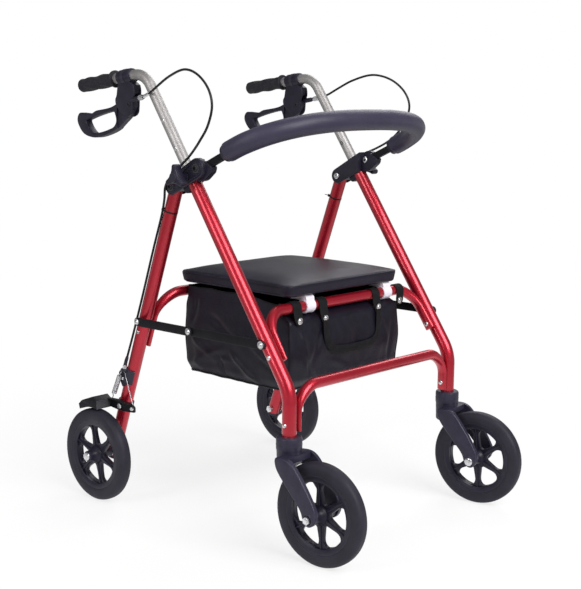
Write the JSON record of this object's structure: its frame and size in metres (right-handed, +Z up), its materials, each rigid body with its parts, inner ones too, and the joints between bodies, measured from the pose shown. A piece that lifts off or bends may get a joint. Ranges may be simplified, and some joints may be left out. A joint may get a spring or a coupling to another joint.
{
  "type": "rollator walker",
  "caption": "Folding four-wheeled walker with a padded seat, bag, curved backrest, loop brakes and telescoping handles.",
  "frame": {"origin": "on the floor, under the middle of the walker's bounding box", "axes": "+Z up; -Y forward, the way the walker is pushed, towards the casters; the user stands at +Y; X across, with the user's left at +X"},
  "size_m": [0.6626, 0.7998, 0.9198],
  "materials": {
    "red_paint": "metallic dark red gloss paint",
    "silver_tube": "satin anodised aluminium",
    "black_plastic": "satin moulded plastic",
    "black_steel": "satin black paint",
    "zinc": "bright zinc plate",
    "steel": "bright spring steel",
    "tyre": "dark grey solid tyre",
    "grip_rubber": "matt black moulded grip",
    "cable_casing": "black cable casing",
    "white_plastic": "white moulded plastic",
    "vinyl": "black upholstery vinyl",
    "nylon": "black woven nylon",
    "foam": "dark grey foam"
  },
  "bodies": {
    "front_frame": {"lower_crossbar": "red_paint", "front_seat_tube": "red_paint", "backrest_pad": "foam", "bag": "nylon", "front_leg_right": "red_paint", "bracket_right": "black_plastic", "bracket_screw_right": "zinc", "fold_pin_right": "zinc", "backrest_arm_right": "black_steel", "front_leg_left": "red_paint", "bracket_left": "black_plastic", "bracket_screw_left": "zinc", "fold_pin_left": "zinc", "backrest_arm_left": "black_steel"},
    "rear_frame": {"rear_seat_tube": "red_paint", "rear_leg_right": "red_paint", "rear_axle_right": "zinc", "brake_cable_lower_right": "cable_casing", "cable_stop_right": "black_steel", "brake_collar_right": "black_plastic", "brake_spring_right": "steel", "rear_leg_left": "red_paint", "rear_axle_left": "zinc", "brake_cable_lower_left": "cable_casing", "cable_stop_left": "black_steel", "brake_collar_left": "black_plastic", "brake_spring_left": "steel"},
    "seat": {"seat_pad": "vinyl", "seat_clip_right": "white_plastic", "seat_clip_left": "white_plastic"},
    "brace_front_right": {"brace_front_link_right": "black_steel"},
    "brace_rear_right": {"brace_rear_link_right": "black_steel"},
    "caster_right": {"caster_fork_right": "black_plastic", "caster_axle_right": "zinc"},
    "caster_wheel_right": {"caster_tyre_right": "tyre", "caster_rim_right": "black_plastic"},
    "rear_wheel_right": {"rear_tyre_right": "tyre", "rear_rim_right": "black_plastic"},
    "handle_right": {"handle_tube_right": "silver_tube", "grip_right": "grip_rubber", "brake_housing_right": "black_plastic", "brake_cable_upper_right": "cable_casing"},
    "brake_lever_right": {"brake_lever_right": "black_plastic"},
    "brake_arm_right": {"brake_arm_right": "black_steel"},
    "height_knob_right": {"height_knob_right": "black_plastic"},
    "brace_front_left": {"brace_front_link_left": "black_steel"},
    "brace_rear_left": {"brace_rear_link_left": "black_steel"},
    "caster_left": {"caster_fork_left": "black_plastic", "caster_axle_left": "zinc"},
    "caster_wheel_left": {"caster_tyre_left": "tyre", "caster_rim_left": "black_plastic"},
    "rear_wheel_left": {"rear_tyre_left": "tyre", "rear_rim_left": "black_plastic"},
    "handle_left": {"handle_tube_left": "silver_tube", "grip_left": "grip_rubber", "brake_housing_left": "black_plastic", "brake_cable_upper_left": "cable_casing"},
    "brake_lever_left": {"brake_lever_left": "black_plastic"},
    "brake_arm_left": {"brake_arm_left": "black_steel"},
    "height_knob_left": {"height_knob_left": "black_plastic"}
  },
  "joints": [
    {"name": "fold", "type": "hinge", "parent": "front_frame", "child": "rear_frame", "pos_m": [0, 0.09, 0.687], "axis": [-1, 0, 0], "range_deg": [0, 30], "deforming": ["bag"]},
    {"name": "brace_front_right", "type": "hinge", "parent": "front_frame", "child": "brace_front_right", "pos_m": [-0.267, -0.16404, 0.404], "axis": [1, 0, 0], "range_deg": [0, 43]},
    {"name": "brace_rear_right", "type": "hinge", "parent": "rear_frame", "child": "brace_rear_right", "pos_m": [-0.271, 0.19232, 0.401], "axis": [1, 0, 0], "range_deg": [-41, 0]},
    {"name": "caster_swivel_right", "type": "hinge", "parent": "front_frame", "child": "caster_right", "pos_m": [-0.251, -0.222, 0.226], "axis": [0, 0, 1], "continuous": true},
    {"name": "caster_spin_right", "type": "hinge", "parent": "caster_right", "child": "caster_wheel_right", "pos_m": [-0.24556, -0.29981, 0.1], "axis": [0.9976, 0.0698, 0], "continuous": true},
    {"name": "rear_spin_right", "type": "hinge", "parent": "rear_frame", "child": "rear_wheel_right", "pos_m": [-0.297, 0.3, 0.1], "axis": [1, 0, 0], "continuous": true},
    {"name": "handle_height_right", "type": "slide", "parent": "front_frame", "child": "handle_right", "axis": [0, 0.5679, 0.8231], "range_m": [-0.13, 0.065], "deforming": ["brake_cable_upper_right"]},
    {"name": "knob_turn_right", "type": "hinge", "parent": "front_frame", "child": "height_knob_right", "pos_m": [-0.28, 0.04572, 0.708], "axis": [1, 0, 0], "range_deg": [0, 720]},
    {"name": "brake_right", "type": "hinge", "parent": "handle_right", "child": "brake_lever_right", "pos_m": [-0.251, 0.225, 0.846], "axis": [1, 0, 0], "range_deg": [0, 9], "stiffness_Nm_per_rad": 6, "springref_deg": -8.59},
    {"name": "brake_shoe_right", "type": "hinge", "parent": "rear_frame", "child": "brake_arm_right", "pos_m": [-0.27, 0.252, 0.211], "axis": [-1, 0, 0], "range_deg": [0, 2.2], "stiffness_Nm_per_rad": 6, "springref_deg": -5.73},
    {"name": "brace_front_left", "type": "hinge", "parent": "front_frame", "child": "brace_front_left", "pos_m": [0.267, -0.16404, 0.404], "axis": [1, 0, 0], "range_deg": [0, 43]},
    {"name": "brace_rear_left", "type": "hinge", "parent": "rear_frame", "child": "brace_rear_left", "pos_m": [0.271, 0.19232, 0.401], "axis": [1, 0, 0], "range_deg": [-41, 0]},
    {"name": "caster_swivel_left", "type": "hinge", "parent": "front_frame", "child": "caster_left", "pos_m": [0.251, -0.222, 0.226], "axis": [0, 0, 1], "continuous": true},
    {"name": "caster_spin_left", "type": "hinge", "parent": "caster_left", "child": "caster_wheel_left", "pos_m": [0.26186, -0.29924, 0.1], "axis": [0.9903, 0.1392, 0], "continuous": true},
    {"name": "rear_spin_left", "type": "hinge", "parent": "rear_frame", "child": "rear_wheel_left", "pos_m": [0.297, 0.3, 0.1], "axis": [1, 0, 0], "continuous": true},
    {"name": "handle_height_left", "type": "slide", "parent": "front_frame", "child": "handle_left", "axis": [0, 0.5679, 0.8231], "range_m": [-0.13, 0.065], "deforming": ["brake_cable_upper_left"]},
    {"name": "knob_turn_left", "type": "hinge", "parent": "front_frame", "child": "height_knob_left", "pos_m": [0.28, 0.04572, 0.708], "axis": [1, 0, 0], "range_deg": [0, 720]},
    {"name": "brake_left", "type": "hinge", "parent": "handle_left", "child": "brake_lever_left", "pos_m": [0.251, 0.225, 0.846], "axis": [1, 0, 0], "range_deg": [0, 9], "stiffness_Nm_per_rad": 6, "springref_deg": -8.59},
    {"name": "brake_shoe_left", "type": "hinge", "parent": "rear_frame", "child": "brake_arm_left", "pos_m": [0.27, 0.252, 0.211], "axis": [-1, 0, 0], "range_deg": [0, 2.2], "stiffness_Nm_per_rad": 6, "springref_deg": -5.73},
    {"name": "seat_lift", "type": "hinge", "parent": "front_frame", "child": "seat", "pos_m": [0, -0.12885, 0.455], "axis": [1, 0, 0], "range_deg": [0, 85]}
  ],
  "couplings": [
    {"joint": "brace_front_right", "follows": "fold", "ratio": 1.4116},
    {"joint": "brace_rear_right", "follows": "fold", "ratio": -1.3481},
    {"joint": "brake_shoe_right", "follows": "brake_right", "ratio": 0.24},
    {"joint": "brace_front_left", "follows": "fold", "ratio": 1.4116},
    {"joint": "brace_rear_left", "follows": "fold", "ratio": -1.3481},
    {"joint": "brake_shoe_left", "follows": "brake_left", "ratio": 0.24}
  ]
}
